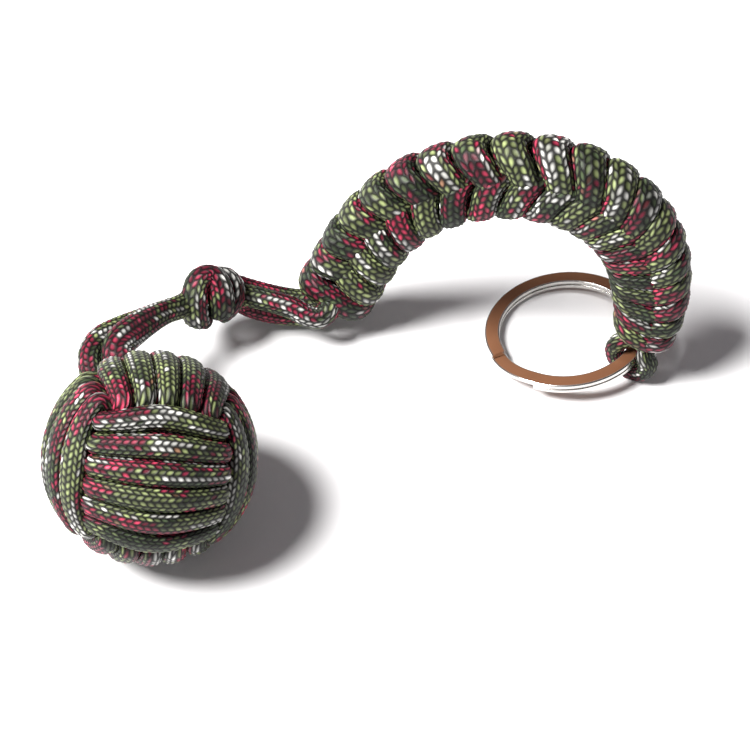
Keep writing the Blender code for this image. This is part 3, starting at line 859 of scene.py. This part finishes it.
def plain_wraps(wraps):
    """The wraps at the fist's end, as one strand that goes round the bar once for each."""
    plain = BAR_PLAIN_WRAPS
    angle = np.linspace(PLAIN_START, math.tau * plain + PLAIN_END, plain * PLAIN_STEPS_PER_TURN)
    turns, leads = [-0.25], [PLAIN_LEAD_BEFORE]
    for k in range(plain + 1):
        for quarter, lead in enumerate(PLAIN_LEADS):
            turns.append(k + quarter / 4)
            leads.append(k + lead)
    index = smoothed(np.interp(angle / math.tau, turns, leads), PLAIN_SMOOTHING)
    place = np.interp(index, np.arange(len(wraps)), wraps)
    from_end = np.minimum(angle - angle[0], angle[-1] - angle)
    drop = PLAIN_END_DROP * (1 - smooth_step(from_end / PLAIN_END_REACH))
    return bar_strand(angle, place, drop, BAR_STRAND, PLAIN_PATTERN)


def chevron_strand(wraps, k, half):
    """A half of wrap k: 0 goes over the bar's outer edge, and 1 over its inner one."""
    degrees, lead, deep = np.array(CHEVRON_HALVES[half]).T
    reach = math.radians(degrees[-1])
    turn = np.linspace(-reach, reach, CHEVRON_SAMPLES)
    from_middle = np.degrees(np.abs(turn))
    lead = smoothed(np.interp(from_middle, degrees, lead), CHEVRON_LEAD_SMOOTHING)
    drop = smoothed(np.interp(from_middle, degrees, deep), CHEVRON_DROP_SMOOTHING) * MM
    middle = lead[CHEVRON_SAMPLES // 2]
    growth = smooth_step((k - BAR_PLAIN_WRAPS) / CHEVRON_GROWTH_WRAPS)
    grown = CHEVRON_FIRST_LEAD + (1 - CHEVRON_FIRST_LEAD) * growth
    place = wraps[k] + (middle + grown * (lead - middle)) * bar_pitch(wraps[k])
    width = BAR_STRAND * CHEVRON_WIDTHS[half]
    start = CHEVRON_PATTERN_STEP * k + CHEVRON_PATTERN_HALF * half
    return bar_strand(math.pi * half + turn, place, drop, width, start)


def make_bar(cord):
    """The working cord: plain wraps at the fist's end, then pairs of strands that form chevrons."""
    wraps = np.array(BAR_WRAPS) * MM
    tubes = [plain_wraps(wraps)]
    for k in range(BAR_PLAIN_WRAPS, len(wraps)):
        tubes += [chevron_strand(wraps, k, half) for half in (0, 1)]
    piece = cord_object("bar_cord", tubes, cord)
    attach(piece, "lanyard")
    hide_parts("bar_turns")


# Lead, knot and neck


def parallel_axes(path):
    """For each point of path, two directions square to it that turn as little as they can."""
    ahead = unit(np.gradient(path, axis=0))
    first = []
    side = unit(np.cross(ahead[0], (0, 0, 1)))
    for t in ahead:
        side = unit(side - t * (side @ t))
        first.append(side)
    first = np.array(first)
    return first, np.cross(first, ahead)


def beside(middle, start, end):
    """The offsets of a strand that lies beside the middle line, from start to end."""
    first, second = parallel_axes(middle)
    begins, over = LEAD_TURNS
    share = smooth_step((np.linspace(0, 1, len(middle)) - begins) / over)
    begin = complex(start @ first[0], start @ second[0])
    finish = complex(end @ first[-1], end @ second[-1])
    turn = np.angle(finish / begin) * share
    size = abs(begin) + (abs(finish) - abs(begin)) * share
    offset = size * np.exp(1j * (np.angle(begin) + turn))
    return offset.real[:, None] * first + offset.imag[:, None] * second


def knot_axes():
    """Along the knot, across it, and over it."""
    along = unit(KNOT_AXIS)
    side = unit(np.cross(along, (0, 0, 1)))
    return along, side, np.cross(side, along)


def make_lead(cord):
    """Two strands from the fist to the knot: side by side at first, then one behind the other."""
    along, _, _ = knot_axes()
    centre = np.array(KNOT_CENTRE) * MM
    route = [np.array(p) * MM for p in LEAD_ROUTE]
    route.append(centre - LEAD_INTO_KNOT * KNOT_HALF * along)
    middle = spline_through(route, LEAD_SAMPLES) + SHIFT
    first = unit(np.cross(middle[1] - middle[0], TO_VIEWER))
    last = unit(np.cross(along, np.cross(TO_VIEWER, along)))
    begins, over = LEAD_NARROWS
    close = smooth_step((np.linspace(0, 1, len(middle)) - begins) / over)
    for name, (way, wide) in LEAD_STRANDS.items():
        offset = beside(middle, way * MM * first, way * LEAD_END_OFFSET * MM * last)
        width = (wide - (wide - LEAD_END_WIDTH) * close) * MM
        line = middle + offset
        start = LEAD_PATTERN_STEP * way + LEAD_PATTERN
        piece = braided_cord(name, line, TO_VIEWER, width, CORD_THICKNESS, cord, start)
        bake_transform(piece)
        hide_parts("lead_strand_a" if way > 0 else "lead_strand_b")


def make_knot(cord):
    """The stopper knot: a bight that arches over the front and one that closes it behind."""
    centre = np.array(KNOT_CENTRE) * MM + SHIFT + KNOT_ASIDE * PICTURE_RIGHT
    tubes = []
    for start, bight in ((FRONT_BIGHT_PATTERN, FRONT_BIGHT), (BACK_BIGHT_PATTERN, BACK_BIGHT)):
        path = spline_through(np.array(bight) * MM @ PICTURE_AXES, KNOT_SAMPLES)
        tubes.append(braided_tube(centre + path, unit(path), KNOT_STRAND, CORD_THICKNESS, start))
    piece = cord_object("knot_cord", tubes, cord)
    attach(piece, "lanyard")
    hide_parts("knot_turns", "knot_core_strand")


def neck_path(name):
    """A neck strand's path from inside the knot into the bar's first wrap."""
    along, side, up = knot_axes()
    start = np.array(KNOT_CENTRE) * MM + NECK_FROM * KNOT_HALF * along + SHIFT
    line, outward, forward = arch_line(NECK_ARCH_SAMPLES)
    across, over = NECK_STARTS[name]
    square = across * side + (over - NECK_LOWER) * NECK_FLATTER * up
    first = start + NECK_SPREAD_INSIDE * square
    knot_end = start + NECK_LEAVES * KNOT_HALF * along + NECK_SPREAD * square
    if name in NECK_LEANS:
        lean, drop, rise = (v * MM for v in NECK_LEANS[name])
        out_share, flat_share = NECK_ENDS[name]
        spread = out_share * outward[0] + flat_share * arch_axes()[2]
        last = line[0] + spread * CORE_SPACING / 2 - NECK_BEFORE_BAR * forward[0]
        leans_out = knot_end + lean * along - NECK_DROP_SHARE * drop * up
        handles = (knot_end, leans_out, last - rise * forward[0], last)
        curve = bezier(handles, NECK_CURVE_SAMPLES)[::NECK_CURVE_STEP]
        points = [first, *curve, last, last + NECK_INTO_BAR * forward[0]]
    else:
        points = [first, knot_end, *(line[0] + np.array(FRONT_BEND) * MM @ PICTURE_AXES)]
    return spline_through(points, NECK_SAMPLES)


def make_neck(cord):
    """Four strands from the knot into the bar's first wrap."""
    for k, name in enumerate(NECK_STARTS):
        path, start = neck_path(name), NECK_PATTERN + NECK_PATTERN_STEP * k
        piece = braided_cord(name, path, TO_VIEWER, NECK_WIDTH, NECK_THICKNESS, cord, start)
        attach(piece, "lanyard")
        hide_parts(name)


# Core, eye and ring


def ring_height():
    return 2 * RING_WIRE_THICKNESS + RING_COIL_GAP


def eye_centre():
    """The middle of the eye, where the ring's wire passes, and the radius of its cord's bend."""
    hole = math.hypot(RING_FACE_WIDTH, ring_height()) / 2 + EYE_CLEARANCE
    bend = hole + CORE_DIAMETER / 2
    low = CORE_DIAMETER * EYE_HEIGHT_SHARE
    return np.array([EYE_PLACE[0] * MM, EYE_PLACE[1] * MM, low + bend]) + SHIFT, bend


def make_core(cord):
    """One cord up through the bar, round the ring's wire as the eye, and back through the bar."""
    centre, bend = eye_centre()
    line, outward, _ = arch_line(CORE_POINTS)
    across = np.array([math.cos(RING_HEADING), math.sin(RING_HEADING), 0])
    down = np.array([0, 0, -1])
    angle = np.linspace(-EYE_WRAP, math.pi + EYE_WRAP, EYE_POINTS)
    eye = [centre + bend * (math.cos(t) * across + math.sin(t) * down) for t in angle]
    outer = line + CORE_SPACING / 2 * outward
    inner = line - CORE_SPACING / 2 * outward
    path = spline_through([*outer, *eye, *inner[::-1]], CORE_SAMPLES)
    away = path - centre
    hinge = np.array([-across[1], across[0], 0])
    near = smooth_step((EYE_REACH - np.linalg.norm(away, axis=1)) / EYE_FADE)[:, None]
    from_eye = unit(away - hinge * (away @ hinge)[:, None])
    normal = unit(near * from_eye + (1 - near) * arch_axes()[2])
    piece = braided_cord("eye_cord", path, normal, CORE_WIDTH, CORE_THICKNESS, cord, EYE_PATTERN)
    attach(piece, "lanyard")
    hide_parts("core_loop")


def ring_axes():
    """Towards the eye, along the hinge, square to the ring's face, and the ring's middle."""
    centre, _ = eye_centre()
    middle = (RING_OUTER_DIAMETER - RING_FACE_WIDTH) / 2
    tilt = 0.0
    for _ in range(RING_TILT_ROUNDS):
        low = ring_height() / 2 * math.cos(tilt) + RING_FACE_WIDTH / 2 * math.sin(tilt)
        tilt = math.asin((centre[2] - low) / (2 * middle))
    away = np.array([math.cos(RING_HEADING), math.sin(RING_HEADING), 0])
    to_eye = math.cos(tilt) * away + math.sin(tilt) * np.array([0, 0, 1])
    hinge = np.array([-away[1], away[0], 0])
    return to_eye, hinge, np.cross(to_eye, hinge), centre - middle * to_eye


def wire_outline():
    """The points round the flat wire's section: how far out each lies, and how far up."""
    wide = RING_FACE_WIDTH / 2 - RING_CORNER
    thick = RING_WIRE_THICKNESS / 2 - RING_CORNER
    outline = []
    for corner, (a, b) in enumerate(((1, 1), (-1, 1), (-1, -1), (1, -1))):
        for t in np.linspace(0, 0.5, RING_CORNER_POINTS) * math.pi + corner * math.pi / 2:
            out = a * wide + RING_CORNER * math.cos(t)
            up = b * thick + RING_CORNER * math.sin(t)
            outline.append((out, up))
    return np.array(outline).T


def make_ring(nickel):
    """Flat wire with worn round edges, wound nearly twice round and stepping up at the split."""
    to_eye, hinge, normal, place = ring_axes()
    middle = (RING_OUTER_DIAMETER - RING_FACE_WIDTH) / 2
    lift = (RING_WIRE_THICKNESS + RING_COIL_GAP) / 2
    out, up = wire_outline()
    sweep = 2 * math.tau - 2 * RING_STEP_HALF_ANGLE
    turn = np.linspace(0, sweep, RING_SECTIONS + 1)
    rise = (turn - sweep / 2) / (2 * RING_STEP_HALF_ANGLE) + 0.5
    height = lift * (2 * smooth_step(rise) - 1)
    angle = RING_SPLIT_ANGLE - RING_HEADING + RING_STEP_HALF_ANGLE + turn
    radius = middle + out[None, :]
    x = radius * np.cos(angle)[:, None]
    y = radius * np.sin(angle)[:, None]
    z = height[:, None] + up[None, :]
    points = place + x[:, :, None] * to_eye + y[:, :, None] * hinge + z[:, :, None] * normal
    points[:, :, 2] = np.maximum(points[:, :, 2], RING_ABOVE_FLOOR)
    piece = cord_object("key_ring", [(points, middle * turn)], nickel)
    piece.data.set_sharp_from_angle(angle=RING_SHARP_ANGLE)
    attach(piece, "ring")
    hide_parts("split_ring")


# Floor, light and camera


def make_floor():
    """A pale floor, with a faint glow where the camera or a gloss sees it."""
    bpy.ops.mesh.primitive_plane_add(size=FLOOR_SIZE, location=(0, 0, 0))
    floor = bpy.context.object
    floor.name = "floor"
    material, g, shader = new_material("floor")
    shader.inputs["Base Color"].default_value = FLOOR_COLOUR
    shader.inputs["Roughness"].default_value = 0.6
    shader.inputs["Specular IOR Level"].default_value = 0.1
    paths = g.add("ShaderNodeLightPath")
    seen = g.math("MAXIMUM", paths.outputs["Is Camera Ray"], paths.outputs["Is Glossy Ray"])
    shader.inputs["Emission Color"].default_value = (1, 1, 1, 1)
    g.put(shader.inputs["Emission Strength"], g.math("MULTIPLY", seen, FLOOR_GLOW))
    floor.data.materials.append(material)


def look_along(direction):
    return Vector(direction).to_track_quat("-Z", "Y").to_euler()


def make_lights():
    """An even world, and one large round lamp from the left."""
    world = bpy.data.worlds.new("studio")
    bpy.context.scene.world = world
    world.use_nodes = True
    background = world.node_tree.nodes["Background"]
    background.inputs["Color"].default_value = WORLD_COLOUR
    background.inputs["Strength"].default_value = WORLD_STRENGTH
    light = bpy.data.lights.new("key", "AREA")
    light.shape = "DISK"
    light.size = LAMP_SIZE
    light.energy = LAMP_POWER
    light.color = LAMP_COLOUR
    lamp = bpy.data.objects.new("key", light)
    lamp.location = LAMP_PLACE
    lamp.rotation_euler = look_along(np.array(LAMP_AIM) - np.array(LAMP_PLACE))
    bpy.context.scene.collection.objects.link(lamp)


def make_camera():
    data = bpy.data.cameras.new("camera")
    data.sensor_width = SENSOR_WIDTH
    data.lens = SENSOR_WIDTH * CAMERA_DISTANCE * PIXELS_PER_METRE / PHOTO_PIXELS
    camera = bpy.data.objects.new("camera", data)
    away = np.array([0, math.cos(CAMERA_ELEVATION), -math.sin(CAMERA_ELEVATION)])
    camera.location = CAMERA_TARGET - CAMERA_DISTANCE * away
    camera.rotation_euler = look_along(away)
    bpy.context.scene.collection.objects.link(camera)
    bpy.context.scene.camera = camera


def main():
    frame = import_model()
    cord = cord_material()
    steel = metal_material("plain_steel", STEEL, STEEL_ROUGHNESS)
    nickel = metal_material("nickel", NICKEL, NICKEL_ROUGHNESS, PAINTED_FACE_REFLECTION)
    metals = {"steel_ball": steel, "split_ring": nickel}
    for name, node in frame["nodes"].items():
        node.data.materials.clear()
        node.data.materials.append(metals.get(name, cord))
    make_fist(cord)
    make_lead(cord)
    make_knot(cord)
    make_neck(cord)
    make_bar(cord)
    make_core(cord)
    make_ring(nickel)
    make_floor()
    make_lights()
    make_camera()
    bpy.context.scene.view_settings.view_transform = "Standard"


main()
